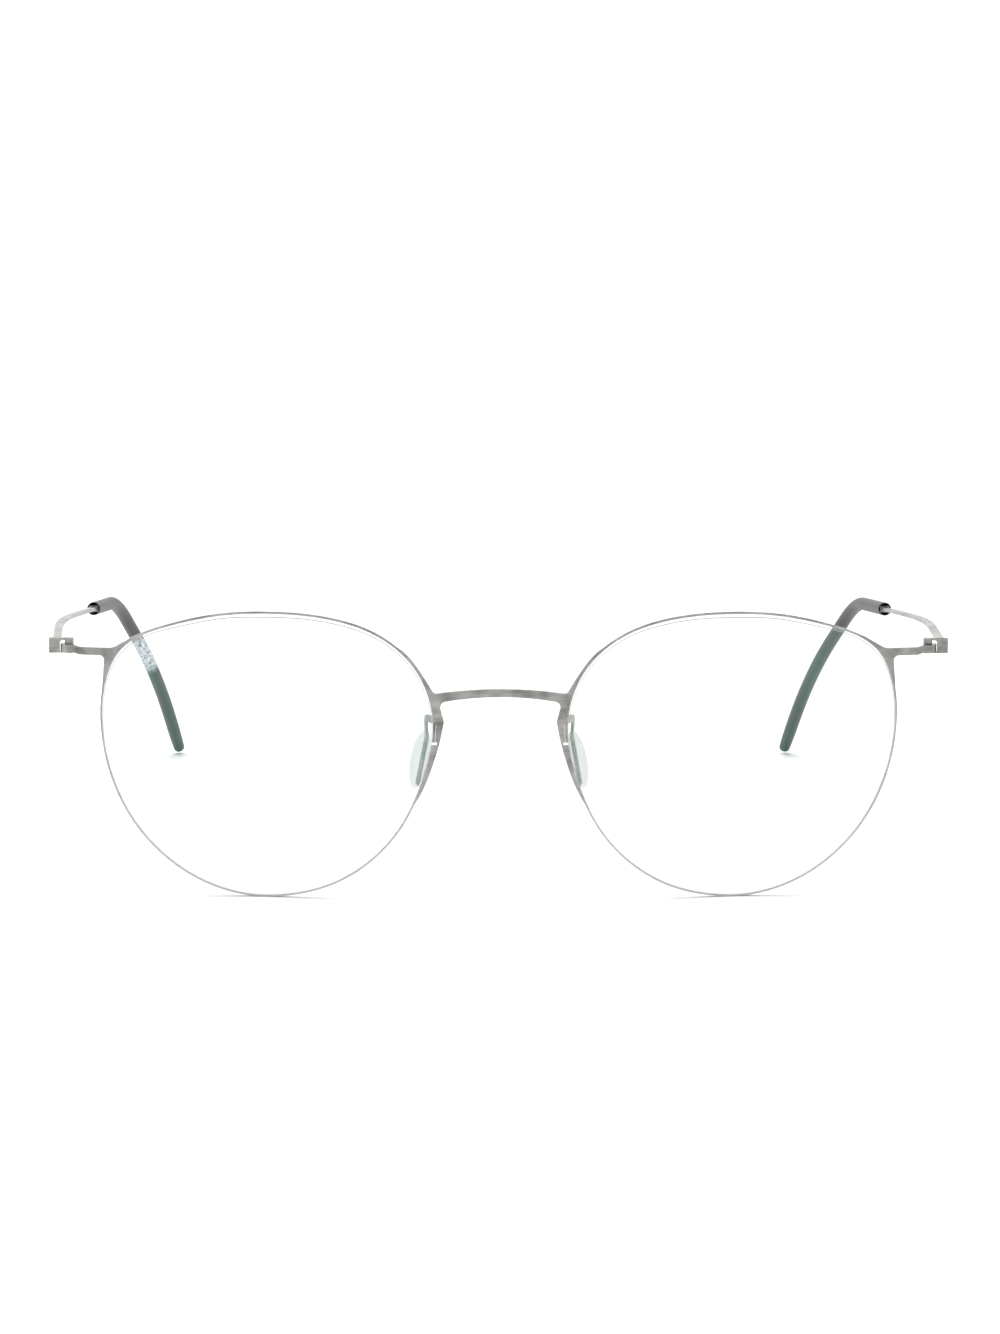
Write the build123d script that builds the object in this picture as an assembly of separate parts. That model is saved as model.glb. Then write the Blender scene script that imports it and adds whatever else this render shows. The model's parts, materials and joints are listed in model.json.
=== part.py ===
"""Round eyeglasses cut and bent from thin titanium sheet, standing open on a table.

Millimetres.  X runs across the face, Y from the front of the glasses back towards the
ears, Z up.  Right and left are the wearer's, so the right side is at negative X.  Each
piece is drawn once, for positive X, and mirrored for the right side.
"""
from build123d import *
import os
from math import asin, cos, pi, radians, sin

# Lens box, seen from the front
LENS_WIDTH = 49.0
LENS_HEIGHT = 42.7
LENS_GAP = 19.6
LENS_CENTRE_X = (LENS_GAP + LENS_WIDTH) / 2
RIM_DROP = 0.3
LENS_CENTRE_Z = RIM_DROP + LENS_HEIGHT / 2

# Lens outline about its centre, from the bottom round by the temple side
LENS_OUTLINE = [
    (0.1, -21.35), (10.8, -18.65), (19.15, -11.35), (22.8, -4.3), (24.45, 4.3),
    (23.9, 10.6), (21.3, 15.8), (15.2, 18.95), (7.6, 20.8), (-0.1, 21.35),
    (-7.6, 20.85), (-15.15, 18.75), (-21.8, 13.35), (-24.5, 5.15), (-22.9, -3.65),
    (-19.5, -10.95), (-10.7, -18.85),
]

# Titanium sheet and the ball that the whole front is curved over
SHEET = 0.6
FRONT_CURVE = 300.0
LENS_PROUD = 0.45
LENS_THICKNESS = 2.0
RIM_IN_GROOVE = 0.15
GROOVE_CLEARANCE = 0.02
THROUGH = 20.0

# Bridge
BRIDGE_TOP_Z = 31.95
BRIDGE_UNDER_Z = 30.8
BRIDGE_ARC_X = 8.16
BRIDGE_TOP_SAG = 0.52
BRIDGE_UNDER_SAG = 0.72
BRIDGE_REACH = 10.6
NOTCH = (9.3, 31.0)
NOTCH_ROUND = 0.7
UNDER_NOTCH = (8.8, 30.0)
UNDER_ROUND = 0.9

# Metal that widens the rim beside the nose: its outer edge, from the top down
NOSE_EDGE = [(15.9, 38.45), (13.3, 36.5), (11.95, 34.7), (10.0, 31.6), (8.55, 28.0),
             (8.7, 24.8), (9.4, 22.1), (11.1, 17.3), (12.8, 14.2)]

# Rim lock beside the nose: the rim is cut open here and the pad clip sits in the cut
CLIP_TOP = 27.95
CLIP_BOTTOM = 23.95
CLIP_INNER_TOP_X = 9.32
CLIP_INNER_BOTTOM_X = 9.55
CLIP_OUTER_TOP_X = 8.5
CLIP_OUTER_BOTTOM_X = 8.88
CLIP_BUMP = (8.28, 27.0)
CLIP_GAP = 0.1
RIM_CUT = 0.4
RIM_CUT_DEPTH = 1.0

# End piece that carries the hinge, and its two tails along the rim
ARM_TOP_Z = 37.2
ARM_BOTTOM_Z = 36.1
ARM_START_X = 57.0
ARM_STRAIGHT_X = 61.9
ARM_RISE = 0.3
UPPER_TAIL_BEND = (53.8, 39.1)
UPPER_TAIL_END = (50.2, 40.35)
LOWER_TAIL_TOP_X = 58.25
LOWER_TAIL_END = (58.9, 27.0)
UPPER_TAIL_ROUND = 2.5
LOWER_TAIL_ROUND = 0.7
ARM_BEND_ROUND = 1.5

# Hinge: the end piece is hooked round an upright barrel on the temple
HINGE_X = 63.5
BARREL_RADIUS = 0.65
RUNNING_CLEARANCE = 0.05
HINGE_Z = (ARM_TOP_Z + ARM_BOTTOM_Z) / 2 + ARM_RISE
HOOK_HEIGHT = ARM_TOP_Z - ARM_BOTTOM_Z
HOOK_SWEEP = 175.0
BARREL_DISTANCE = FRONT_CURVE - SHEET - RUNNING_CLEARANCE - BARREL_RADIUS

# Temple: a plate facing forwards, folded back at its top edge into a narrow strip
PLATE_OUTER_X = 66.5
PLATE_WINDOW_X = 64.9
PLATE_TOP_Z = 38.4
PLATE_TOP_BAR = 0.36
PLATE_BOTTOM_BAR = 0.2
STRIP_THICKNESS = 0.5
STRIP_WIDTH = 1.2
STRIP_START_X = 65.3
TEMPLE_BOW = (66.8, 38.5, 36.5)
TEMPLE_BEND = (61.0, 94.1, 31.2)
TEMPLE_LOWER = (55.3, 114.5, 16.0)
TEMPLE_END = (52.0, 127.0, 0.8)
BOW_ROUND = 160.0
EAR_ROUND = 22.5
LOWER_ROUND = 100.0

# Soft tip over the end of the temple
TIP_RADIUS = 1.05
TIP_MOUTH_RADIUS = 0.93
TIP_MOUTH_DEPTH = 2.5
TIP_START_Y = 71.0
TIP_END_ROUND = 0.5
CORE_SHORT = 12.0
COLLAR_WIDTH = 1.5
COLLAR_THICKNESS = 1.0
COLLAR_LENGTH = 4.0
COLLAR_INSET = 0.1

# Nose pad and the thin strip that holds it
PAD_ARM_THICKNESS = 0.35
PAD_ARM_WIDTH = 1.1
PAD_ARM_PATH = [(8.9, 0.4, 27.1), (10.9, 5.3, 26.9), (10.75, 6.0, 23.8), (12.1, 7.2, 16.5)]
PAD_ARM_ROUNDS = [0.9, 3.0]
PAD_CENTRE = (11.7, 7.5, 20.2)
PAD_HEIGHT = 8.8
PAD_WIDTH = 5.2
PAD_THICKNESS = 1.5
PAD_SPLAY = 18.0
PAD_LEAN = 13.0
PAD_EDGE_ROUND = 0.6

FRONT_BALL_CENTRE = Pos(0, FRONT_CURVE, HINGE_Z)


def ball(radius):
    """A ball about the centre that the front is curved round."""
    return FRONT_BALL_CENTRE * Sphere(radius)


def lens_outline(grow):
    """The lens outline as a flat face, grown or shrunk all round by the same amount."""
    wide = 1 + 2 * grow / LENS_WIDTH
    tall = 1 + 2 * grow / LENS_HEIGHT
    points = [(LENS_CENTRE_X + x * wide, LENS_CENTRE_Z + z * tall) for x, z in LENS_OUTLINE]
    return make_face(Spline(*points, periodic=True))


def nearest_corner(flat, x, z):
    """The corner of a flat face that lies nearest to a place."""
    return flat.vertices().sort_by_distance((x, z, 0))[0]


def through_ball(flat, outer, inner):
    """Carry a flat outline straight back and keep what lies between two balls."""
    block = extrude(Plane.XZ * flat, amount=THROUGH, both=True)
    return (block & ball(outer)) - ball(inner)


def bridge_half():
    """The bridge from its middle to inside the rim, between two shallow arcs."""
    def arc_drop(sag):
        return sag * (BRIDGE_REACH / BRIDGE_ARC_X) ** 2
    top = ThreePointArc(
        (-BRIDGE_REACH, BRIDGE_TOP_Z - arc_drop(BRIDGE_TOP_SAG)),
        (0, BRIDGE_TOP_Z),
        (BRIDGE_REACH, BRIDGE_TOP_Z - arc_drop(BRIDGE_TOP_SAG)),
    )
    under = ThreePointArc(
        (BRIDGE_REACH, BRIDGE_UNDER_Z - arc_drop(BRIDGE_UNDER_SAG)),
        (0, BRIDGE_UNDER_Z),
        (-BRIDGE_REACH, BRIDGE_UNDER_Z - arc_drop(BRIDGE_UNDER_SAG)),
    )
    band = make_face([top, Line(top @ 1, under @ 0), under, Line(under @ 1, top @ 0)])
    return band & (Pos(THROUGH / 2, BRIDGE_TOP_Z) * Rectangle(THROUGH, THROUGH))


def nose_side():
    """Rim metal beside the nose, with the bridge run into it by two rounded corners."""
    edge = Spline(*NOSE_EDGE)
    web = make_face([edge, Line(edge @ 1, edge @ 0)]) + bridge_half()
    web = fillet(nearest_corner(web, *NOTCH), NOTCH_ROUND)
    return fillet(nearest_corner(web, *UNDER_NOTCH), UNDER_ROUND)


def end_piece():
    """Arm out to the hinge, with a tail along the rim above it and one below."""
    hook_start = HINGE_X * FRONT_CURVE / BARREL_DISTANCE
    arm = make_face(Polyline(
        UPPER_TAIL_END, UPPER_TAIL_BEND, (ARM_START_X, ARM_TOP_Z), (ARM_STRAIGHT_X, ARM_TOP_Z),
        (HINGE_X - BARREL_RADIUS, ARM_TOP_Z + ARM_RISE), (hook_start, ARM_TOP_Z + ARM_RISE),
        (hook_start, ARM_BOTTOM_Z + ARM_RISE), (HINGE_X - BARREL_RADIUS, ARM_BOTTOM_Z + ARM_RISE),
        (ARM_STRAIGHT_X, ARM_BOTTOM_Z), (LOWER_TAIL_TOP_X, ARM_BOTTOM_Z), LOWER_TAIL_END,
        (LENS_CENTRE_X + LENS_WIDTH / 3, LENS_CENTRE_Z), close=True))
    arm = fillet(nearest_corner(arm, ARM_START_X, ARM_TOP_Z), UPPER_TAIL_ROUND)
    arm = fillet(nearest_corner(arm, LOWER_TAIL_TOP_X, ARM_BOTTOM_Z), LOWER_TAIL_ROUND)
    for z in (ARM_TOP_Z, ARM_BOTTOM_Z):
        arm = fillet(nearest_corner(arm, ARM_STRAIGHT_X, z), ARM_BEND_ROUND)
    return arm


def clip_space(gap):
    """Where the pad clip sits in the cut rim; a gap leaves clearance all round it."""
    return make_face(Polyline(
        (CLIP_OUTER_TOP_X - 2 * gap, CLIP_TOP + gap),
        (CLIP_INNER_TOP_X + gap / 2, CLIP_TOP + gap),
        (CLIP_INNER_BOTTOM_X + gap / 2, CLIP_BOTTOM - gap),
        (CLIP_OUTER_BOTTOM_X - 2 * gap, CLIP_BOTTOM - gap),
        (CLIP_BUMP[0] - 2 * gap, CLIP_BUMP[1]), close=True))


def rim_cut():
    """The opening between the two ends of the rim, just below the clip."""
    place = Pos(LENS_CENTRE_X - LENS_WIDTH / 2, CLIP_BOTTOM - RIM_CUT / 2)
    return place * Rectangle(RIM_CUT_DEPTH, RIM_CUT)


def hook(centre_y):
    """The end of the arm, rolled round the hinge barrel."""
    inner = BARREL_RADIUS + RUNNING_CLEARANCE
    start = asin(HINGE_X / BARREL_DISTANCE) - pi / 2
    points = []
    for radius in (inner + SHEET, inner):
        arc = []
        for part in (0, 0.5, 1):
            angle = start + radians(HOOK_SWEEP) * part
            arc.append((HINGE_X + radius * cos(angle), centre_y + radius * sin(angle)))
        points.append(arc)
    outer_arc = ThreePointArc(*points[0])
    inner_arc = ThreePointArc(*points[1])
    ring = make_face([outer_arc, Line(outer_arc @ 1, inner_arc @ 1), inner_arc,
                      Line(inner_arc @ 0, outer_arc @ 0)])
    return Pos(0, 0, HINGE_Z - HOOK_HEIGHT / 2) * extrude(ring, amount=HOOK_HEIGHT)


def hinge_centre_y():
    """How far back the hinge barrel stands, touching the back of the arm less clearance."""
    return FRONT_CURVE - BARREL_DISTANCE * cos(asin(HINGE_X / BARREL_DISTANCE))


def front_half():
    """One half of the front: bridge, rim, rim lock and end piece, cut from one sheet."""
    flat = lens_outline(RIM_IN_GROOVE) + nose_side() + end_piece()
    flat = flat - lens_outline(-RIM_IN_GROOVE) - clip_space(CLIP_GAP) - rim_cut()
    return through_ball(flat, FRONT_CURVE, FRONT_CURVE - SHEET) + hook(hinge_centre_y())


def lens():
    """A clear lens with a groove round its edge for the rim."""
    body = through_ball(lens_outline(0), FRONT_CURVE + LENS_PROUD,
                        FRONT_CURVE + LENS_PROUD - LENS_THICKNESS)
    band = lens_outline(1.0) - lens_outline(-RIM_IN_GROOVE - GROOVE_CLEARANCE)
    return body - through_ball(band, FRONT_CURVE + GROOVE_CLEARANCE,
                               FRONT_CURVE - SHEET - GROOVE_CLEARANCE)


def carried(section_wide, section_thick, path):
    """A rectangular strip along a path, its broad side across the path's start."""
    start = Plane(origin=path @ 0, x_dir=(1, 0, 0), z_dir=path % 0)
    return sweep(start * Rectangle(section_wide, section_thick), path=path)


def pad_arm():
    """The clip that closes the rim, with the thin strip bent back from it to the pad."""
    clip = through_ball(clip_space(0), FRONT_CURVE, FRONT_CURVE - SHEET)
    path = FilletPolyline(*PAD_ARM_PATH, radius=PAD_ARM_ROUNDS)
    return clip + carried(PAD_ARM_THICKNESS, PAD_ARM_WIDTH, path)


def nose_pad(arm):
    """A flat oval pad moulded over the end of its arm."""
    place = Pos(*PAD_CENTRE) * Rot(0, -PAD_LEAN, 0) * Rot(0, 0, -PAD_SPLAY)
    disc = extrude(Plane.YZ * Ellipse(PAD_WIDTH / 2, PAD_HEIGHT / 2),
                   amount=PAD_THICKNESS / 2, both=True)
    return place * fillet(disc.edges(), PAD_EDGE_ROUND) - arm


def temple_path():
    """Middle line of the temple: back past the temple, then down behind the ear."""
    start = (STRIP_START_X, hinge_centre_y(), PLATE_TOP_Z - STRIP_THICKNESS / 2)
    return FilletPolyline(start, TEMPLE_BOW, TEMPLE_BEND, TEMPLE_LOWER, TEMPLE_END,
                          radius=[BOW_ROUND, EAR_ROUND, LOWER_ROUND])


def path_from(path, y):
    """The share of the temple's middle line that lies in front of a place."""
    low = 0.0
    high = 1.0
    for _ in range(40):
        middle = (low + high) / 2
        if (path @ middle).Y < y:
            low = middle
        else:
            high = middle
    return low


def hinge_plate():
    """The temple's front plate, with its window and the barrel along one side of it."""
    centre_y = hinge_centre_y()
    window_bottom = HINGE_Z - HOOK_HEIGHT / 2 - RUNNING_CLEARANCE
    bottom = window_bottom - PLATE_BOTTOM_BAR
    plate = make_face(Polyline((HINGE_X, bottom), (PLATE_OUTER_X, bottom),
                               (PLATE_OUTER_X, PLATE_TOP_Z), (HINGE_X, PLATE_TOP_Z), close=True))
    window = make_face(Polyline(
        (HINGE_X, window_bottom), (PLATE_WINDOW_X, window_bottom),
        (PLATE_WINDOW_X, PLATE_TOP_Z - PLATE_TOP_BAR), (HINGE_X, PLATE_TOP_Z - PLATE_TOP_BAR),
        close=True))
    sheet = extrude(Plane.XZ * (plate - window), amount=SHEET / 2, both=True)
    barrel = Cylinder(BARREL_RADIUS, PLATE_TOP_Z - bottom)
    return (Pos(0, centre_y, 0) * sheet
            + Pos(HINGE_X, centre_y, (PLATE_TOP_Z + bottom) / 2) * barrel)


def temple(path):
    """Hinge plate, strip, and the thicker collar just inside the mouth of the tip."""
    whole = path.length
    core = path.trim(0, 1 - CORE_SHORT / whole)
    mouth = path_from(path, TIP_START_Y)
    collar_line = path.trim(mouth + COLLAR_INSET / whole,
                            mouth + (COLLAR_INSET + COLLAR_LENGTH) / whole)
    return (hinge_plate() + carried(STRIP_WIDTH, STRIP_THICKNESS, core)
            + carried(COLLAR_WIDTH, COLLAR_THICKNESS, collar_line))


def temple_tip(path, metal):
    """A soft sleeve over the temple's end, with an open mouth and a rounded end."""
    whole = path.length
    start = path_from(path, TIP_START_Y)
    line = path.trim(start, 1)
    mouth = path.trim(start, start + TIP_MOUTH_DEPTH / whole)
    sleeve = sweep(Plane(origin=line @ 0, z_dir=line % 0) * Circle(TIP_RADIUS), path=line)
    sleeve = fillet(sleeve.faces().sort_by(Axis.Z)[0].edges(), TIP_END_ROUND)
    hollow = sweep(Plane(origin=mouth @ 0, z_dir=mouth % 0) * Circle(TIP_MOUTH_RADIUS), path=mouth)
    return sleeve - hollow - metal


def build():
    """Every piece by name, where it sits with the glasses open."""
    path = temple_path()
    metal = temple(path)
    arm = pad_arm()
    half = front_half()
    pieces = {
        "lens": lens(),
        "nose_pad_arm": arm,
        "nose_pad": nose_pad(arm),
        "temple": metal,
        "temple_tip": temple_tip(path, metal),
    }
    model = {"front_frame": half + mirror(half, Plane.YZ)}
    for name, piece in pieces.items():
        model[name + "_left"] = piece
        model[name + "_right"] = mirror(piece, Plane.YZ)
    return model


model = build()
box = Compound(list(model.values())).bounding_box()
to_origin = Pos(-box.center().X, -box.center().Y, -box.min.Z)
os.makedirs("parts", exist_ok=True)
for name, piece in model.items():
    export_step(to_origin * piece, f"parts/{name}.step")
print("box", box.size, "hinge", HINGE_X, hinge_centre_y() - box.center().Y, HINGE_Z - box.min.Z)
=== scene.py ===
"""Round eyeglasses of thin titanium sheet: clear lenses, nose pads, temple tips and a studio.

The metal pieces keep the shapes of the frame that is loaded; their corners are softened and
they get a finish, with a painted reflection of the bright floor on the metal near the floor.
One lens carries a painted reflection of a softbox.  Lenses, nose pads and tips are surfaces
worked out here.  Properties are in metres and degrees.  X runs across the face, Y back towards
the ears, Z up.
"""
import bmesh
import bpy
import json
import math
import numpy as np
from bpy.props import FloatProperty, FloatVectorProperty, PointerProperty
from mathutils import Euler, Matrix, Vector
from mathutils.geometry import convex_hull_2d


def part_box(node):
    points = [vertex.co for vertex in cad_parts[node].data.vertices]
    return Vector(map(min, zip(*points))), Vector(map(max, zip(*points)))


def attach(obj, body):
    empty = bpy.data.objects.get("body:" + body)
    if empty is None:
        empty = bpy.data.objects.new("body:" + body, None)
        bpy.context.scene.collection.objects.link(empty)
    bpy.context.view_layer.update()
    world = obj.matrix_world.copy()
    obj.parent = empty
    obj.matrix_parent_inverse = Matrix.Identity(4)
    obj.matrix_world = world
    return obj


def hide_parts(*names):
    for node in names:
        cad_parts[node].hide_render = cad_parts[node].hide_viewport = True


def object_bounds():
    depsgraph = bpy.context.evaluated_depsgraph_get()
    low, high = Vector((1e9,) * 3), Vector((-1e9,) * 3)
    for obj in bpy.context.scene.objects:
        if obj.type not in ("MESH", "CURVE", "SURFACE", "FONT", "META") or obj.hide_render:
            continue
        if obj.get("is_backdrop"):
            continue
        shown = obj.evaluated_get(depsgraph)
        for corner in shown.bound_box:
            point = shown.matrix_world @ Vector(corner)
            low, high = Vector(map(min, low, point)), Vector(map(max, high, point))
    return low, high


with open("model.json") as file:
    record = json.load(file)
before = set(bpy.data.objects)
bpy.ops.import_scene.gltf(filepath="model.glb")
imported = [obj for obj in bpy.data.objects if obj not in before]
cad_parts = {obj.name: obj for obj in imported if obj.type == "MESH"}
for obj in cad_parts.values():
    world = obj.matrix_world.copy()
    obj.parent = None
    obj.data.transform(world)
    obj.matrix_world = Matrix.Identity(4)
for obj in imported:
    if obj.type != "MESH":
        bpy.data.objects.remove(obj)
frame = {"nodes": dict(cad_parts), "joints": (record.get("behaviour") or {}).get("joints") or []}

bl_info = {
    "name": "Round Eyeglasses",
    "version": (1, 0, 0),
    "blender": (4, 5, 0),
    "location": "3D View > Sidebar > Eyeglasses",
    "description": "Finishes thin titanium eyeglasses: metal, lenses, nose pads, tips and studio",
    "category": "Add Mesh",
}

MM = 0.001
SIDES = {"left": 1, "right": -1}
LEFT_HINGE = Vector(next(j for j in frame["joints"] if j["name"] == "fold_left")["pos_m"])
AROUND_LENS = 360
AROUND_TUBE = 40
AROUND_PAD = 72
AROUND_FLOOR = 64
FLOOR_RINGS = 12
HARMONICS = 12
SHARP_ANGLE = math.radians(35)


def length(label, text, millimetres):
    """A size in metres whose default is given in millimetres."""
    return FloatProperty(name=label, description=text, default=millimetres * MM,
                         unit="LENGTH", precision=5)


def angle(label, text, degrees):
    """An angle whose default is given in degrees."""
    return FloatProperty(name=label, description=text, default=math.radians(degrees),
                         unit="ROTATION")


def colour(label, text, red, green, blue):
    """A colour in linear light."""
    return FloatVectorProperty(name=label, description=text, default=(red, green, blue),
                               subtype="COLOR", size=3, min=0, max=1)


def share(label, text, value):
    """A number between nothing and one."""
    return FloatProperty(name=label, description=text, default=value, min=0, max=1,
                         subtype="FACTOR")


def light_level(label, text, value):
    """The strength of a light."""
    return FloatProperty(name=label, description=text, default=value, min=0)


def offset(label, text, across, back, up):
    """A place in millimetres from the left hinge."""
    return FloatVectorProperty(name=label, description=text, unit="LENGTH", size=3,
                               default=(across * MM, back * MM, up * MM))


class MetalSettings(bpy.types.PropertyGroup):
    """Brushed titanium sheet."""
    light: colour("Light", "Colour where the brushing is bright", 0.42, 0.415, 0.40)
    dark: colour("Dark", "Colour where the brushing is dull", 0.15, 0.15, 0.143)
    # Pale is painted light: the bright floor's reflection painted on the metal near the floor,
    # which pales the lower halves of the rims.
    pale: colour("Pale", "Colour of the lower halves of the rims", 0.52, 0.515, 0.505)
    fade: length("Fade", "Height above the floor at which the pale part has faded out", 17.0)
    roughness: share("Roughness", "Roughness of the brushed face", 0.34)
    corner: length("Corner", "How far the cut corners are softened", 0.035)


class LensSettings(bpy.types.PropertyGroup):
    """Coated lenses."""
    curve: length("Curve", "Radius that the front sheet is bent to", 300.0)
    sheet: length("Sheet", "Thickness of the front sheet", 0.6)
    proud: length("Proud", "How far a lens stands in front of the sheet", 0.45)
    thickness: length("Thickness", "Thickness of a lens", 2.0)
    groove: length("Groove", "Depth of the groove in the edge of a lens", 0.17)
    bevel: length("Bevel", "Width of the polished bevel at the front corner", 0.55)
    bevel_line: length("Bevel line", "Width of the fine line that borders the bevel", 0.15)
    back_bevel: length("Back bevel", "Width of the bevel at the back corner", 0.1)
    clearance: length("Clearance", "Gap between the sheet and the sides of the groove", 0.02)
    barrel_gap: length("Barrel gap", "From the back of the sheet to the middle of a hinge", 0.7)
    coating: colour("Coating", "Colour that the coating reflects", 0.22, 0.60, 0.48)
    reflection: share("Reflection", "Share of light that each face sends straight back", 0.04)
    edge: colour("Edge", "Colour of the cut edge", 0.90, 0.91, 0.905)
    line: colour("Line", "Colour of the fine line that borders the bevel", 0.30, 0.32, 0.31)
    glare: colour("Glare", "Colour that a face reflects at a slant", 0.95, 0.97, 0.96)
    # The Haze settings place a painted reflection of a softbox on one lens: a speckled pale
    # patch.
    painted_glare_place: offset("Haze place", "Middle of the dusty patch, from the left hinge",
                       -115.9, 0.0, -0.4)
    painted_glare_radius: length("Haze radius", "Radius of the dusty patch", 3.3)
    painted_glare_density: share("Haze", "How dense the dusty patch is", 0.62)
    painted_glare_tint: colour("Haze tint", "Colour of the dust in the patch", 0.86, 0.95, 1.0)


class PadSettings(bpy.types.PropertyGroup):
    """Clear nose pads."""
    width: length("Width", "Width of a pad", 5.2)
    height: length("Height", "Height of a pad", 8.8)
    thickness: length("Thickness", "Thickness of a pad", 1.5)
    splay: angle("Splay", "How far a pad turns outwards towards the back", 18.0)
    lean: angle("Lean", "How far a pad leans outwards towards the bottom", 13.0)
    tint: colour("Tint", "Colour of the clear silicone", 0.44, 0.45, 0.445)
    outline: colour("Outline", "Colour where a pad is seen at a slant", 0.12, 0.13, 0.125)


class TipSettings(bpy.types.PropertyGroup):
    """Soft temple tips."""
    radius: length("Radius", "Radius of a tip", 1.05)
    bore: length("Bore", "Radius inside the mouth", 0.93)
    mouth_depth: length("Mouth depth", "How deep the mouth is open", 2.5)
    end_round: length("End round", "Rounding of the closed end", 0.5)
    tint: colour("Tint", "Colour of the soft grey rubber", 0.026, 0.028, 0.029)
    taper: share("Taper", "Radius at the closed end as a share of the full radius", 0.86)
    taper_length: length("Taper length", "How far before the end a tip begins to narrow", 7.0)
    start: offset("Start", "Where the strip leaves the hinge", 1.8, 0.0, 1.2)
    bow: offset("Bow", "Widest corner of the temple", 3.3, 30.37, -0.45)
    bend: offset("Bend", "Corner over the ear", -2.5, 85.97, -5.75)
    lower: offset("Lower", "Corner behind the ear", -8.2, 106.37, -20.95)
    end: offset("End", "End of the temple", -11.5, 118.87, -36.15)
    bow_round: length("Bow round", "Radius of the widest bend", 160.0)
    ear_round: length("Ear round", "Radius of the bend over the ear", 22.5)
    lower_round: length("Lower round", "Radius of the bend behind the ear", 100.0)
    mouth: length("Mouth", "How far behind the hinge the tip begins", 62.87)


class StageSettings(bpy.types.PropertyGroup):
    """Floor, lights and camera."""
    distance: length("Distance", "From the camera to the front of the glasses", 754.0)
    elevation: angle("Elevation", "How far the camera looks down", 10.0)
    azimuth: angle("Azimuth", "How far the camera stands to one side", 1.4)
    roll: angle("Roll", "How far the camera is turned about its own axis", 0.237)
    lift: angle("Lift", "How far the camera tilts up from the glasses", 0.952)
    aim_depth: length("Aim depth", "The aim point behind the front of the glasses", 4.0)
    aim_height: length("Aim height", "The aim point above the floor", 21.85)
    focal: FloatProperty(name="Focal length", description="Focal length of the camera lens",
                         default=137.85, unit="CAMERA")
    floor: colour("Floor", "Colour of the floor", 0.96, 0.96, 0.96)
    sky: light_level("Sky", "Strength of the light from all round", 0.46)
    backdrop: light_level("Backdrop", "Brightness of the white backdrop", 1.1)
    sun: light_level("Sun", "Strength of the wide overhead light", 2.9)
    back_light: light_level("Back light", "Power of the light behind the glasses, in watts", 6.5)
    left_light: light_level("Left light", "Power of the light on the left, in watts", 0.8)
    right_light: light_level("Right light", "Power of the light on the right, in watts", 0.5)
    floor_radius: length("Floor radius", "Radius of the round floor", 6000.0)


class Link:
    """A shader socket on which sums, differences, products and powers add Math nodes."""

    def __init__(self, graph, socket):
        self.graph = graph
        self.socket = socket

    def __add__(self, other):
        return self.graph.maths("ADD", self, other)

    __radd__ = __add__

    def __sub__(self, other):
        return self.graph.maths("SUBTRACT", self, other)

    def __rsub__(self, other):
        return self.graph.maths("SUBTRACT", other, self)

    def __mul__(self, other):
        return self.graph.maths("MULTIPLY", self, other)

    __rmul__ = __mul__

    def __pow__(self, other):
        return self.graph.maths("POWER", self, other)


class Graph:
    """The nodes of one material."""

    def __init__(self, name):
        self.material = bpy.data.materials.new(name)
        self.material.use_nodes = True
        self.tree = self.material.node_tree
        self.tree.nodes.clear()

    def node(self, kind, settings=None, sockets=None, output=0):
        """Add a node: its type, its settings, and the values or links of its sockets."""
        made = self.tree.nodes.new(kind)
        for key, value in (settings or {}).items():
            setattr(made, key, value)
        for key, value in (sockets or {}).items():
            if isinstance(value, Link):
                self.tree.links.new(value.socket, made.inputs[key])
            else:
                made.inputs[key].default_value = value
        return Link(self, made.outputs[output]) if made.outputs else None

    def maths(self, operation, first, second):
        """A Math node on two values or links."""
        return self.node("ShaderNodeMath", {"operation": operation}, {0: first, 1: second})

    def clamp(self, value, low, high):
        """A value held between two limits."""
        return self.node("ShaderNodeClamp", {}, {"Value": value, "Min": low, "Max": high})

    def blend(self, factor, first, second):
        """A colour between two colours."""
        ends = [c if isinstance(c, Link) else (*c, 1) for c in (first, second)]
        return self.node("ShaderNodeMix", {"data_type": "RGBA"},
                         {0: factor, 6: ends[0], 7: ends[1]}, output=2)

    def place(self, scale=(1, 1, 1)):
        """Object coordinates, stretched along each axis."""
        here = self.node("ShaderNodeTexCoord", output="Object")
        return self.node("ShaderNodeMapping", {}, {"Vector": here, "Scale": scale})

    def noise(self, where, scale, detail=2.0, roughness=0.5):
        """Soft noise between nothing and one."""
        return self.node("ShaderNodeTexNoise", {},
                         {"Vector": where, "Scale": scale, "Detail": detail,
                          "Roughness": roughness})

    def bump(self, height, strength, depth):
        """A normal tilted by a height."""
        return self.node("ShaderNodeBump", {},
                         {"Height": height, "Strength": strength, "Distance": depth})

    def finish(self, sockets):
        """End the material in one Principled shader and hand the material back."""
        shader = self.node("ShaderNodeBsdfPrincipled", {}, sockets)
        self.node("ShaderNodeOutputMaterial", {}, {"Surface": shader})
        return self.material


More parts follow.
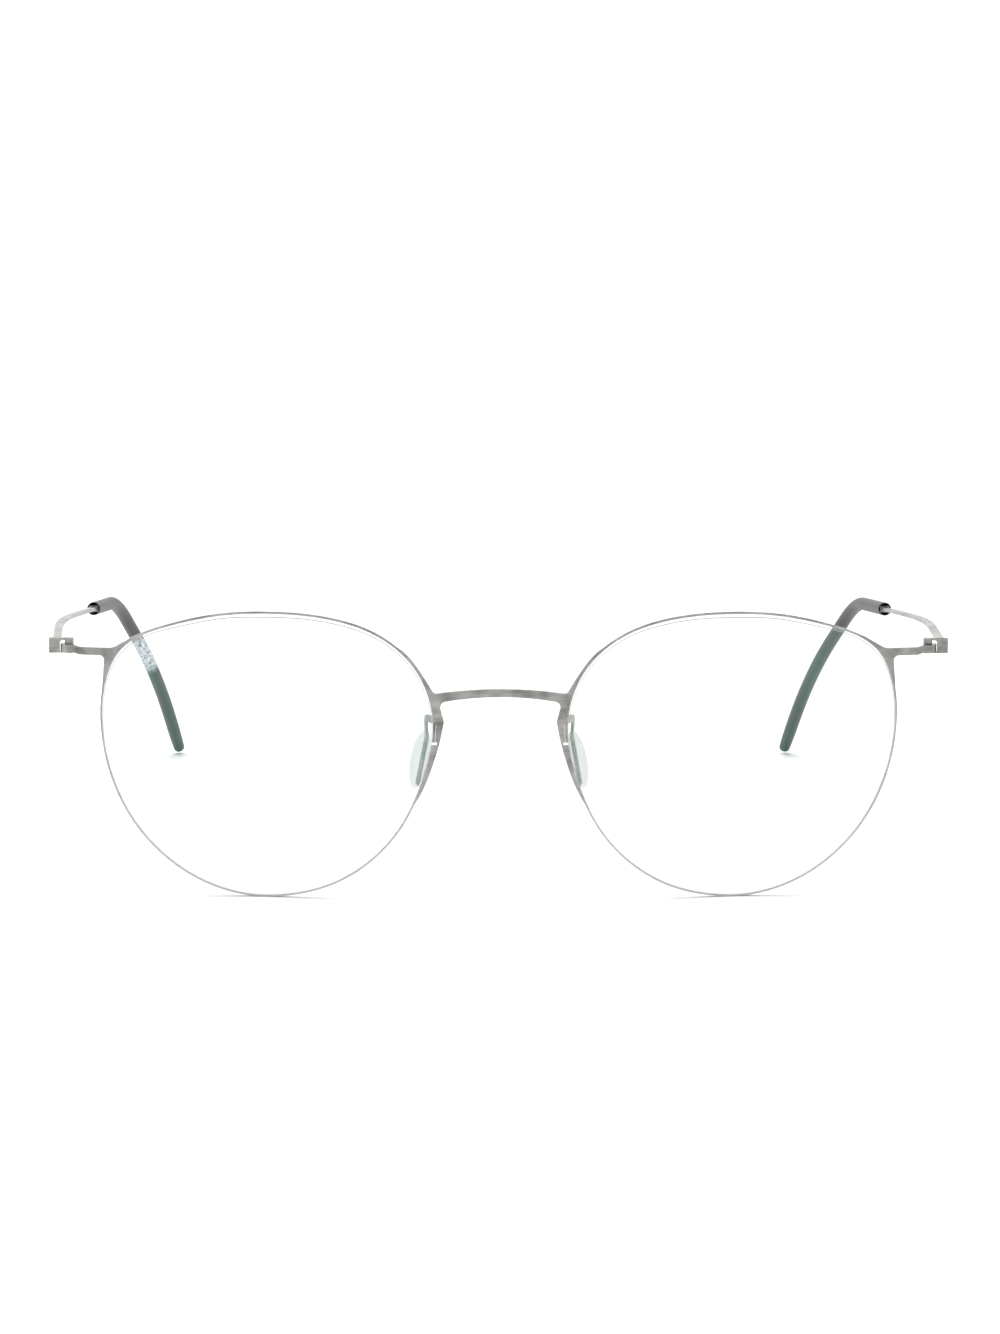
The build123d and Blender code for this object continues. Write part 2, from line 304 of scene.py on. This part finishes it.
def brushed_titanium(settings):
    """Matt titanium with fine brushing across the face and soft cloudy patches.

    A paler colour is painted on the metal near the floor as a painted reflection of the bright
    floor; it pales the lower halves of the rims, fully so below half of the fade height.
    """
    graph = Graph("brushed_titanium")
    streaks = graph.noise(graph.place((260, 5200, 5200)), 1.0, detail=3.0)
    clouds = graph.noise(graph.place(), 330.0, detail=2.0)
    grain = graph.noise(graph.place(), 9000.0, detail=1.0)
    tone = graph.clamp(0.9 * streaks + 2.2 * clouds - 1.0, 0.0, 1.0)
    height = 0.7 * streaks + 0.3 * grain
    # Painted reflection of the bright floor: metal below the fade height is blended towards the
    # pale colour, fully so below half of it.
    above = graph.node("ShaderNodeSeparateXYZ", {}, {"Vector": graph.place()}, output=2)
    low = graph.clamp(2.0 - above * (2.0 / settings.fade), 0.0, 1.0)
    brushed = graph.blend(tone, tuple(settings.dark), tuple(settings.light))
    return graph.finish({
        "Base Color": graph.blend(low, brushed, tuple(settings.pale)),
        "Metallic": 1.0,
        "Roughness": settings.roughness + 0.16 * (streaks - 0.5) + 0.10 * (clouds - 0.5),
        "Normal": graph.bump(height, 0.35, 0.00001),
    })


def coated_lens(settings):
    """Clear resin with a green coating, a pale cut edge and a fine line round its bevel.

    The attribute "edge" marks the cut edge and "border" the fine line.  A face sends back a small
    share of the light straight on and nearly all of it at a slant.  Dust lies thinly all over.
    One
    patch, which fades with the distance from its middle, holds a painted reflection of a softbox:
    speckled, paler and rougher.
    """
    graph = Graph("coated_lens")
    slant = graph.node("ShaderNodeLayerWeight", {}, {"Blend": 0.5}, output=1)
    edge = graph.node("ShaderNodeAttribute", {"attribute_name": "edge"}, output=2)
    border = graph.node("ShaderNodeAttribute", {"attribute_name": "border"}, output=2)
    smear = graph.noise(graph.place(), 70.0, detail=3.0)
    speckle = graph.noise(graph.place(), 2600.0, detail=3.0, roughness=0.8)
    # Painted reflection of a softbox: a patch that fades out from a given place on the lens.
    middle = LEFT_HINGE + Vector(settings.painted_glare_place)
    away = graph.node("ShaderNodeVectorMath", {"operation": "MULTIPLY"},
                      {0: graph.place(), 1: (1, 0, 1)})
    distance = graph.node("ShaderNodeVectorMath", {"operation": "DISTANCE"},
                          {0: away, 1: (middle.x, 0, middle.z)}, output=1)
    patch = graph.clamp(2.4 - distance * (2.4 / settings.painted_glare_radius), 0.0, 1.0)
    # Speckles shared by the thin smears all over and by the painted softbox reflection in the
    # patch.
    dust_and_glare = graph.clamp((speckle - 0.40) * 4.4, 0.0, 1.0)
    painted_glare_density = patch * dust_and_glare * settings.painted_glare_density
    trace = 0.06 * dust_and_glare * graph.clamp((smear - 0.5) * 4.0, 0.0, 1.0)
    straight = settings.reflection
    face = straight + (0.9 - straight) * slant ** 5.0 + painted_glare_density + trace
    cut = 0.20 + 0.72 * border + 0.15 * slant
    shine = graph.blend(slant ** 3.0, tuple(settings.coating), tuple(settings.glare))
    # Inside the patch the shine is tinted towards the colour of the painted softbox reflection.
    painted_glare = graph.blend(graph.clamp(patch * 1.4, 0.0, 1.0), shine, tuple(settings.painted_glare_tint))
    rim = graph.blend(border, tuple(settings.edge), tuple(settings.line))
    return graph.finish({
        "Base Color": graph.blend(edge, painted_glare, rim),
        "Metallic": 1.0 - edge,
        "Roughness": 0.03 + 0.02 * smear + 0.22 * edge + 0.30 * patch,
        "Alpha": graph.clamp(face * (1.0 - edge) + edge * cut, 0.0, 1.0),
        "IOR": 1.6,
    })


def clear_pad(settings):
    """Clear soft silicone, faint straight on and greyer round its outline."""
    graph = Graph("clear_pad")
    slant = graph.node("ShaderNodeLayerWeight", {}, {"Blend": 0.5}, output=1)
    cloud = graph.noise(graph.place(), 420.0, detail=3.0)
    grain = graph.noise(graph.place(), 5200.0, detail=1.0)
    return graph.finish({
        "Base Color": graph.blend(slant ** 4.0, tuple(settings.tint), tuple(settings.outline)),
        "Roughness": 0.12 + 0.14 * cloud,
        "Alpha": graph.clamp(0.28 + 0.06 * cloud + 0.50 * slant ** 6.0, 0.0, 1.0),
        "Normal": graph.bump(grain, 0.10, 0.00002),
        "IOR": 1.41,
    })


def soft_rubber(settings):
    """Dark grey rubber with a soft dry touch, rubbed slightly smoother in patches."""
    graph = Graph("soft_rubber")
    rubbed = graph.noise(graph.place(), 130.0, detail=3.0)
    grain = graph.noise(graph.place(), 6500.0, detail=2.0, roughness=0.7)
    tint = tuple(settings.tint)
    paler = tuple(1.5 * part for part in tint)
    return graph.finish({
        "Base Color": graph.blend(graph.clamp(0.5 * grain + 0.5 * rubbed, 0.0, 1.0), tint, paler),
        "Roughness": 0.52 + 0.16 * (rubbed - 0.5) + 0.10 * (grain - 0.5),
        "Normal": graph.bump(grain, 0.30, 0.00003),
        "Specular IOR Level": 0.5,
        "Sheen Weight": 0.15,
        "Sheen Roughness": 0.5,
    })


def studio_floor(settings):
    """Even pale floor with a trace of grain."""
    graph = Graph("studio_floor")
    grain = graph.noise(graph.place(), 900.0, detail=2.0)
    pale = tuple(settings.floor)
    duller = tuple(0.985 * part for part in pale)
    return graph.finish({
        "Base Color": graph.blend(grain, duller, pale),
        "Roughness": 0.6 + 0.1 * grain,
        "Specular IOR Level": 0.2,
    })


def grid_piece(name, points, material, body, marks=None, mirrored=False):
    """A closed piece from a grid of points whose first and last rows each meet in one point.

    points is (rows, columns, 3).  Columns wrap round; rows run from one pole to the other.
    marks holds an amount for each row by the name of its attribute.
    """
    rows, columns = points.shape[:2]
    ring = np.arange(columns)
    following = (ring + 1) % columns
    inner = points[1:-1].reshape(-1, 3)
    vertices = np.vstack([points[0, 0], inner, points[-1, 0]])
    row = np.arange(rows - 3)[:, None] * columns + 1
    quads = np.stack([row + ring, row + following, row + columns + following,
                      row + columns + ring], axis=-1).reshape(-1, 4)
    first = np.stack([np.zeros(columns, int), 1 + following, 1 + ring], axis=-1)
    base = 1 + (rows - 3) * columns
    last = np.stack([np.full(columns, len(vertices) - 1), base + ring, base + following], axis=-1)
    if mirrored:
        vertices = vertices * (-1, 1, 1)
    mesh = bpy.data.meshes.new(name)
    mesh.from_pydata(vertices.tolist(), [], quads.tolist() + first.tolist() + last.tolist())
    for mark, amount in (marks or {}).items():
        values = np.concatenate([amount[:1], np.repeat(amount[1:-1], columns), amount[-1:]])
        mesh.attributes.new(mark, "FLOAT", "POINT").data.foreach_set("value", values)
    work = bmesh.new()
    work.from_mesh(mesh)
    bmesh.ops.recalc_face_normals(work, faces=work.faces)
    work.to_mesh(mesh)
    work.free()
    mesh.shade_smooth()
    mesh.set_sharp_from_angle(angle=SHARP_ANGLE)
    mesh.materials.append(material)
    piece = bpy.data.objects.new(name, mesh)
    bpy.context.collection.objects.link(piece)
    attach(piece, body)
    return piece


def softened_copy(node, name, material, body, corner):
    """A merged copy of a metal node whose cut corners are rounded a little."""
    source = frame["nodes"][node]
    mesh = source.data.copy()
    mesh.name = name
    work = bmesh.new()
    work.from_mesh(mesh)
    bmesh.ops.remove_doubles(work, verts=work.verts, dist=0.5e-6)
    bmesh.ops.dissolve_limit(work, angle_limit=math.radians(0.3), verts=work.verts,
                             edges=work.edges)
    work.to_mesh(mesh)
    work.free()
    mesh.materials.clear()
    mesh.materials.append(material)
    mesh.shade_smooth()
    mesh.set_sharp_from_angle(angle=SHARP_ANGLE)
    piece = bpy.data.objects.new(name, mesh)
    bpy.context.collection.objects.link(piece)
    bevel = piece.modifiers.new("corner", "BEVEL")
    bevel.width = corner
    bevel.segments = 2
    bevel.limit_method = "ANGLE"
    bevel.angle_limit = math.radians(40)
    bevel.harden_normals = True
    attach(piece, body)
    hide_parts(node)
    return piece


def rounded_path(corners, rounds, spacing):
    """Points along straight runs joined by arcs.

    At a corner of turn t an arc of radius r starts r tan(t / 2) before the corner and ends as far
    after it.  Its points are the centre plus r cos and r sin of an angle that runs from 0 to t.
    """
    corners = np.asarray(corners, float)
    pieces = [corners[:1]]
    for before, corner, after, radius in zip(corners, corners[1:], corners[2:], rounds):
        into = (corner - before) / np.linalg.norm(corner - before)
        away = (after - corner) / np.linalg.norm(after - corner)
        turn = math.acos(float(np.clip(into @ away, -1, 1)))
        reach = radius * math.tan(turn / 2)
        inward = away - into * (into @ away)
        inward = inward / np.linalg.norm(inward)
        centre = corner - reach * into + radius * inward
        count = max(6, int(radius * turn / spacing))
        step = np.linspace(0, turn, count)[:, None]
        pieces.append(centre - radius * inward * np.cos(step) + radius * into * np.sin(step))
    pieces.append(corners[-1:])
    line = np.vstack(pieces)
    travel = np.concatenate([[0], np.cumsum(np.linalg.norm(np.diff(line, axis=0), axis=1))])
    even = np.linspace(0, travel[-1], int(travel[-1] / spacing))
    return np.stack([np.interp(even, travel, line[:, k]) for k in range(3)], axis=1), even


def round_tube(line, travel, profile):
    """A round profile carried along a line.

    Each profile entry is a distance along the line and a radius.  A ring is the line's point plus
    the radius times cosine and sine of the angle, along two directions square to the line.
    """
    where = np.array([p[0] for p in profile])
    radius = np.array([p[1] for p in profile])
    middle = np.stack([np.interp(where, travel, line[:, k]) for k in range(3)], axis=1)
    slope = np.gradient(line, travel, axis=0)
    along = np.stack([np.interp(where, travel, slope[:, k]) for k in range(3)], axis=1)
    along /= np.linalg.norm(along, axis=1, keepdims=True)
    across = np.array([1.0, 0, 0]) - along * along[:, :1]
    across /= np.linalg.norm(across, axis=1, keepdims=True)
    upward = np.cross(along, across)
    turn = np.linspace(0, 2 * np.pi, AROUND_TUBE, endpoint=False)
    ring = (np.cos(turn)[None, :, None] * across[:, None] + np.sin(turn)[None, :, None]
            * upward[:, None])
    return middle[:, None] + radius[:, None, None] * ring


def tip_line(settings):
    """Middle line of the left tip from its mouth to its end, with the distance along it."""
    places = (settings.start, settings.bow, settings.bend, settings.lower, settings.end)
    corners = [np.array(LEFT_HINGE) + np.array(place) for place in places]
    rounds = (settings.bow_round, settings.ear_round, settings.lower_round)
    line, travel = rounded_path(corners, rounds, 0.2 * MM)
    begin = np.interp(LEFT_HINGE.y + settings.mouth, line[:, 1], travel)
    even = np.linspace(begin, travel[-1], len(line) // 2)
    part = np.stack([np.interp(even, travel, line[:, k]) for k in range(3)], axis=1)
    return part, even - begin


def lens_radius(node, centre, turn):
    """Radius of a lens outline at each angle.

    The outline is the outer hull of the node seen from the front.  Its radius is fitted as a
    constant plus cosines and sines of whole multiples of the angle.
    """
    mesh = frame["nodes"][node].data
    places = np.empty(len(mesh.vertices) * 3)
    mesh.vertices.foreach_get("co", places)
    flat = places.reshape(-1, 3)[:, [0, 2]] - centre[[0, 2]]
    hull = flat[convex_hull_2d([Vector(p) for p in flat])]
    seen = np.arctan2(hull[:, 1], hull[:, 0])
    order = np.arange(1, HARMONICS + 1)

    def waves(angles):
        steps = angles[:, None] * order
        return np.hstack([np.ones((len(angles), 1)), np.cos(steps), np.sin(steps)])
    weights = np.linalg.lstsq(waves(seen), np.linalg.norm(hull, axis=1), rcond=None)[0]
    return waves(turn) @ weights


def lens_points(node, settings):
    """A lens as rows from the middle of its front round the edge to the middle of its back.

    A point stands at a share of the outline's radius less an inset, and its depth is that of a
    ball of its row's radius about the centre that the front is bent round.  The front bevel is
    widest at the top of the lens: its inset is multiplied by 0.08 plus 0.92 times the power 1.5
    of half of one plus the sine of the angle.
    """
    low, high = (np.array(corner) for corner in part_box(node))
    centre = (low + high) / 2
    turn = np.linspace(0, 2 * np.pi, AROUND_LENS, endpoint=False)
    outline = lens_radius(node, centre, turn)
    front = settings.curve + settings.proud
    back = front - settings.thickness
    groove_front = settings.curve + settings.clearance
    groove_back = settings.curve - settings.sheet - settings.clearance
    inside = np.linspace(0, 1, 30)
    line = settings.bevel_line
    shoulder, lip = 0.03 * MM, 0.12 * MM
    rows = [(part, settings.bevel + line, 0, front, 0, 0) for part in inside]
    rows += [(1, settings.bevel + line / 2, 0, front, 1, 1), (1, settings.bevel, 0, front, 1, 1),
             (1, settings.bevel - line / 2, 0, front - shoulder, 1, 0),
             (1, 0, 0, groove_front + lip, 1, 0),
             (1, 0, 0, groove_front, 1, 0), (1, 0, settings.groove, groove_front, 1, 0),
             (1, 0, settings.groove, groove_back, 1, 0), (1, 0, 0, groove_back, 1, 0),
             (1, 0, 0, back + settings.back_bevel, 1, 0),
             (1, 0, settings.back_bevel, back, 1, 0)]
    rows += [(part, 0, settings.back_bevel, back, 0, 0) for part in inside[::-1]]
    part, bevel, inset, ball, edge, border = (np.array(column, float) for column in zip(*rows))
    upper = 0.08 + 0.92 * (0.5 + 0.5 * np.sin(turn)) ** 1.5
    inset = inset[:, None] + bevel[:, None] * upper
    reach = part[:, None] * (outline[None] - inset)
    x = centre[0] + reach * np.cos(turn)
    z = centre[2] + reach * np.sin(turn)
    barrel = settings.curve - settings.sheet - settings.barrel_gap
    ball_y = LEFT_HINGE.y + math.sqrt(barrel ** 2 - LEFT_HINGE.x ** 2)
    y = ball_y - np.sqrt(ball[:, None] ** 2 - x ** 2 - (z - LEFT_HINGE.z) ** 2)
    return np.stack([x, y, z], axis=-1), {"edge": edge, "border": border}


def pad_points(node, settings):
    """A pad as a flattened egg: half thickness, height and width times powers of sine and cosine.

    The powers below one square the section off.  The pad is then turned and put in its place.
    """
    low, high = (np.array(corner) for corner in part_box(node))
    up = np.linspace(-np.pi / 2, np.pi / 2, 41)[:, None]
    round_ = np.linspace(0, 2 * np.pi, AROUND_PAD, endpoint=False)[None]
    squared = np.sign(np.sin(up)) * np.abs(np.sin(up)) ** 0.85
    spread = np.abs(np.cos(up)) ** 0.55
    thick = settings.thickness / 2 * squared * np.ones_like(round_)
    wide = settings.width / 2 * spread * np.cos(round_)
    tall = settings.height / 2 * spread * np.sin(round_)
    hollow = 0.9 * (wide ** 2) / settings.width * 0.25
    points = np.stack([thick + hollow, wide, tall], axis=-1)
    spin = Euler((0, 0, -settings.splay)).to_matrix()
    lean = Euler((0, -settings.lean, 0)).to_matrix()
    return points @ np.array(lean @ spin).T + (low + high) / 2


class EYEGLASSES_OT_front(bpy.types.Operator):
    """Finish the cut front sheet: rims, bridge and end pieces"""
    bl_idname = "eyeglasses.front"
    bl_label = "Front sheet"

    def execute(self, context):
        settings = context.scene.eyeglasses_metal
        softened_copy("front_frame", "front_sheet", shared("brushed_titanium"), "front",
                      settings.corner)
        return {"FINISHED"}


class EYEGLASSES_OT_pad_arms(bpy.types.Operator):
    """Finish the two clips with their bent nose pad arms"""
    bl_idname = "eyeglasses.pad_arms"
    bl_label = "Nose pad arms"

    def execute(self, context):
        settings = context.scene.eyeglasses_metal
        for side in SIDES:
            softened_copy(f"nose_pad_arm_{side}", f"pad_clip_{side}",
                          shared("brushed_titanium"), "front", settings.corner)
        return {"FINISHED"}


class EYEGLASSES_OT_temples(bpy.types.Operator):
    """Finish the two temples with their hinge plates and barrels"""
    bl_idname = "eyeglasses.temples"
    bl_label = "Temples"

    def execute(self, context):
        settings = context.scene.eyeglasses_metal
        for side in SIDES:
            softened_copy(f"temple_{side}", f"temple_strip_{side}",
                          shared("brushed_titanium"), f"temple_{side}", settings.corner)
        return {"FINISHED"}


class EYEGLASSES_OT_lenses(bpy.types.Operator):
    """Make the two coated lenses with their bevelled and grooved edges"""
    bl_idname = "eyeglasses.lenses"
    bl_label = "Lenses"

    def execute(self, context):
        settings = context.scene.eyeglasses_lens
        points, marks = lens_points("lens_left", settings)
        for side, sign in SIDES.items():
            piece = grid_piece(f"coated_lens_{side}", points, shared("coated_lens"), "front",
                               marks=marks, mirrored=sign < 0)
            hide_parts(f"lens_{side}")
        return {"FINISHED"}


class EYEGLASSES_OT_nose_pads(bpy.types.Operator):
    """Make the two clear nose pads"""
    bl_idname = "eyeglasses.nose_pads"
    bl_label = "Nose pads"

    def execute(self, context):
        points = pad_points("nose_pad_left", context.scene.eyeglasses_pad)
        for side, sign in SIDES.items():
            piece = grid_piece(f"soft_pad_{side}", points, shared("clear_pad"), "front",
                               mirrored=sign < 0)
            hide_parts(f"nose_pad_{side}")
        return {"FINISHED"}


class EYEGLASSES_OT_temple_tips(bpy.types.Operator):
    """Make the two soft tips with their open mouths and rounded ends"""
    bl_idname = "eyeglasses.temple_tips"
    bl_label = "Temple tips"

    def execute(self, context):
        settings = context.scene.eyeglasses_tip
        line, travel = tip_line(settings)
        whole = travel[-1]
        bend = np.linspace(0, np.pi / 2, 9)[1:]
        body = np.linspace(0.3 * MM, whole - settings.end_round, 160)
        near_end = np.clip((body - whole + settings.taper_length) / settings.taper_length, 0, 1)
        wide = settings.radius * (1 - (1 - settings.taper) * near_end ** 2)
        lip = 0.05 * MM
        profile = [(settings.mouth_depth, 0.0), (settings.mouth_depth, settings.bore - lip),
                   (settings.mouth_depth - lip, settings.bore), (lip, settings.bore),
                   (0.0, settings.bore + lip), (0.0, settings.radius - lip),
                   (lip, settings.radius)]
        profile += list(zip(body, wide))
        profile += [(whole - settings.end_round * (1 - math.sin(turn)),
                     wide[-1] - settings.end_round * (1 - math.cos(turn)))
                    for turn in bend]
        profile += [(whole, 0.0)]
        points = round_tube(line, travel, profile)
        for side, sign in SIDES.items():
            piece = grid_piece(f"soft_tip_{side}", points, shared("soft_rubber"),
                               f"temple_{side}", mirrored=sign < 0)
            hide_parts(f"temple_tip_{side}")
        return {"FINISHED"}


def softbox(name, place, width, height, power):
    """A white rectangular light at a place, facing the glasses."""
    light = bpy.data.lights.new(name, "AREA")
    light.shape = "RECTANGLE"
    light.size = width
    light.size_y = height
    light.energy = power
    lamp = bpy.data.objects.new(name, light)
    lamp.location = place
    aim = Vector((0, 0, 0.02)) - Vector(place)
    lamp.rotation_euler = aim.to_track_quat("-Z", "Y").to_euler()
    bpy.context.collection.objects.link(lamp)


def overhead_light(settings):
    """A very wide light from above and slightly behind, the same all over the floor."""
    sun = bpy.data.lights.new("overhead", "SUN")
    sun.energy = settings.sun
    sun.angle = math.radians(70)
    lamp = bpy.data.objects.new("overhead", sun)
    lamp.rotation_euler = (math.radians(-22), math.radians(-8), 0)
    bpy.context.collection.objects.link(lamp)


def surroundings(settings):
    """Dim even light from all round, with a white backdrop in sight behind the floor."""
    world = bpy.data.worlds.new("surroundings")
    world.use_nodes = True
    nodes = world.node_tree.nodes
    sight = nodes.new("ShaderNodeLightPath")
    strength = nodes.new("ShaderNodeMapRange")
    strength.inputs["To Min"].default_value = settings.sky
    strength.inputs["To Max"].default_value = settings.backdrop
    background = nodes["Background"]
    background.inputs["Color"].default_value = (1, 1, 1, 1)
    world.node_tree.links.new(sight.outputs["Is Camera Ray"], strength.inputs["Value"])
    world.node_tree.links.new(strength.outputs["Result"], background.inputs["Strength"])
    return world


def round_floor(settings):
    """A flat round floor: rings whose radius grows with the square of the ring's number."""
    turn = np.linspace(0, 2 * np.pi, AROUND_FLOOR, endpoint=False)
    reach = settings.floor_radius * np.linspace(0, 1, FLOOR_RINGS + 1)[1:, None] ** 2
    rings = np.stack([reach * np.cos(turn), reach * np.sin(turn), 0 * reach * turn], axis=-1)
    vertices = np.vstack([np.zeros((1, 3)), rings.reshape(-1, 3)])
    ring = np.arange(AROUND_FLOOR)
    following = (ring + 1) % AROUND_FLOOR
    row = np.arange(FLOOR_RINGS - 1)[:, None] * AROUND_FLOOR + 1
    outer = row + AROUND_FLOOR
    quads = np.stack([row + ring, outer + ring, outer + following, row + following],
                     axis=-1).reshape(-1, 4)
    middle = np.stack([np.zeros(AROUND_FLOOR, int), 1 + ring, 1 + following], axis=-1)
    mesh = bpy.data.meshes.new("studio_floor")
    mesh.from_pydata(vertices.tolist(), [], quads.tolist() + middle.tolist())
    mesh.materials.append(shared("studio_floor"))
    floor = bpy.data.objects.new("studio_floor", mesh)
    bpy.context.collection.objects.link(floor)
    floor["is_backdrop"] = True


class EYEGLASSES_OT_stage(bpy.types.Operator):
    """Set up the pale floor, the white surroundings, the soft lights and the camera"""
    bl_idname = "eyeglasses.stage"
    bl_label = "Studio"

    def execute(self, context):
        scene = context.scene
        settings = scene.eyeglasses_stage
        round_floor(settings)
        overhead_light(settings)
        softbox("back_light", (0.0, 1.6, 0.65), 2.2, 0.9, settings.back_light)
        softbox("left_light", (-0.8, -0.1, 0.5), 0.3, 0.7, settings.left_light)
        softbox("right_light", (0.8, -0.1, 0.5), 0.3, 0.7, settings.right_light)
        scene.world = surroundings(settings)
        scene.view_settings.view_transform = "Standard"
        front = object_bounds()[0][1]
        aim = Vector((0, front + settings.aim_depth, settings.aim_height))
        turn, down = settings.azimuth, settings.elevation
        forward = Vector((math.sin(turn) * math.cos(down), math.cos(turn) * math.cos(down),
                          -math.sin(down)))
        camera = bpy.data.cameras.new("camera")
        camera.sensor_fit = "VERTICAL"
        camera.sensor_height = 36.0
        camera.lens = settings.focal
        camera.clip_end = 20.0
        viewer = bpy.data.objects.new("camera", camera)
        viewer.location = aim - settings.distance * forward
        tilt = Euler((math.pi / 2 - down + settings.lift, 0, -turn)).to_matrix()
        viewer.rotation_euler = (tilt @ Euler((0, 0, settings.roll)).to_matrix()).to_euler()
        context.collection.objects.link(viewer)
        scene.camera = viewer
        return {"FINISHED"}


MATERIALS = {
    "brushed_titanium": (brushed_titanium, "eyeglasses_metal"),
    "coated_lens": (coated_lens, "eyeglasses_lens"),
    "clear_pad": (clear_pad, "eyeglasses_pad"),
    "soft_rubber": (soft_rubber, "eyeglasses_tip"),
    "studio_floor": (studio_floor, "eyeglasses_stage"),
}


def shared(name):
    """A material by name, made the first time that it is asked for."""
    make, settings = MATERIALS[name]
    return bpy.data.materials.get(name) or make(getattr(bpy.context.scene, settings))


SETTINGS = {
    "eyeglasses_metal": MetalSettings,
    "eyeglasses_lens": LensSettings,
    "eyeglasses_pad": PadSettings,
    "eyeglasses_tip": TipSettings,
    "eyeglasses_stage": StageSettings,
}
OPERATORS = (
    EYEGLASSES_OT_front,
    EYEGLASSES_OT_pad_arms,
    EYEGLASSES_OT_temples,
    EYEGLASSES_OT_lenses,
    EYEGLASSES_OT_nose_pads,
    EYEGLASSES_OT_temple_tips,
    EYEGLASSES_OT_stage,
)


class EYEGLASSES_PT_panel(bpy.types.Panel):
    """Buttons for the pieces and the sizes and colours that they use"""
    bl_label = "Round Eyeglasses"
    bl_space_type = "VIEW_3D"
    bl_region_type = "UI"
    bl_category = "Eyeglasses"

    def draw(self, context):
        for operator in OPERATORS:
            self.layout.operator(operator.bl_idname)
        for name, group in SETTINGS.items():
            box = self.layout.box()
            for key in group.__annotations__:
                box.prop(getattr(context.scene, name), key)


def register():
    for name, group in SETTINGS.items():
        bpy.utils.register_class(group)
        setattr(bpy.types.Scene, name, PointerProperty(type=group))
    for operator in OPERATORS:
        bpy.utils.register_class(operator)
    bpy.utils.register_class(EYEGLASSES_PT_panel)


def unregister():
    bpy.utils.unregister_class(EYEGLASSES_PT_panel)
    for operator in reversed(OPERATORS):
        bpy.utils.unregister_class(operator)
    for name, group in SETTINGS.items():
        delattr(bpy.types.Scene, name)
        bpy.utils.unregister_class(group)


def main():
    """Make every piece and the studio."""
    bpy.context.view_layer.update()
    register()
    bpy.ops.eyeglasses.front()
    bpy.ops.eyeglasses.pad_arms()
    bpy.ops.eyeglasses.temples()
    bpy.ops.eyeglasses.lenses()
    bpy.ops.eyeglasses.nose_pads()
    bpy.ops.eyeglasses.temple_tips()
    bpy.ops.eyeglasses.stage()
    bpy.context.view_layer.update()


if __name__ == "__main__":
    main()
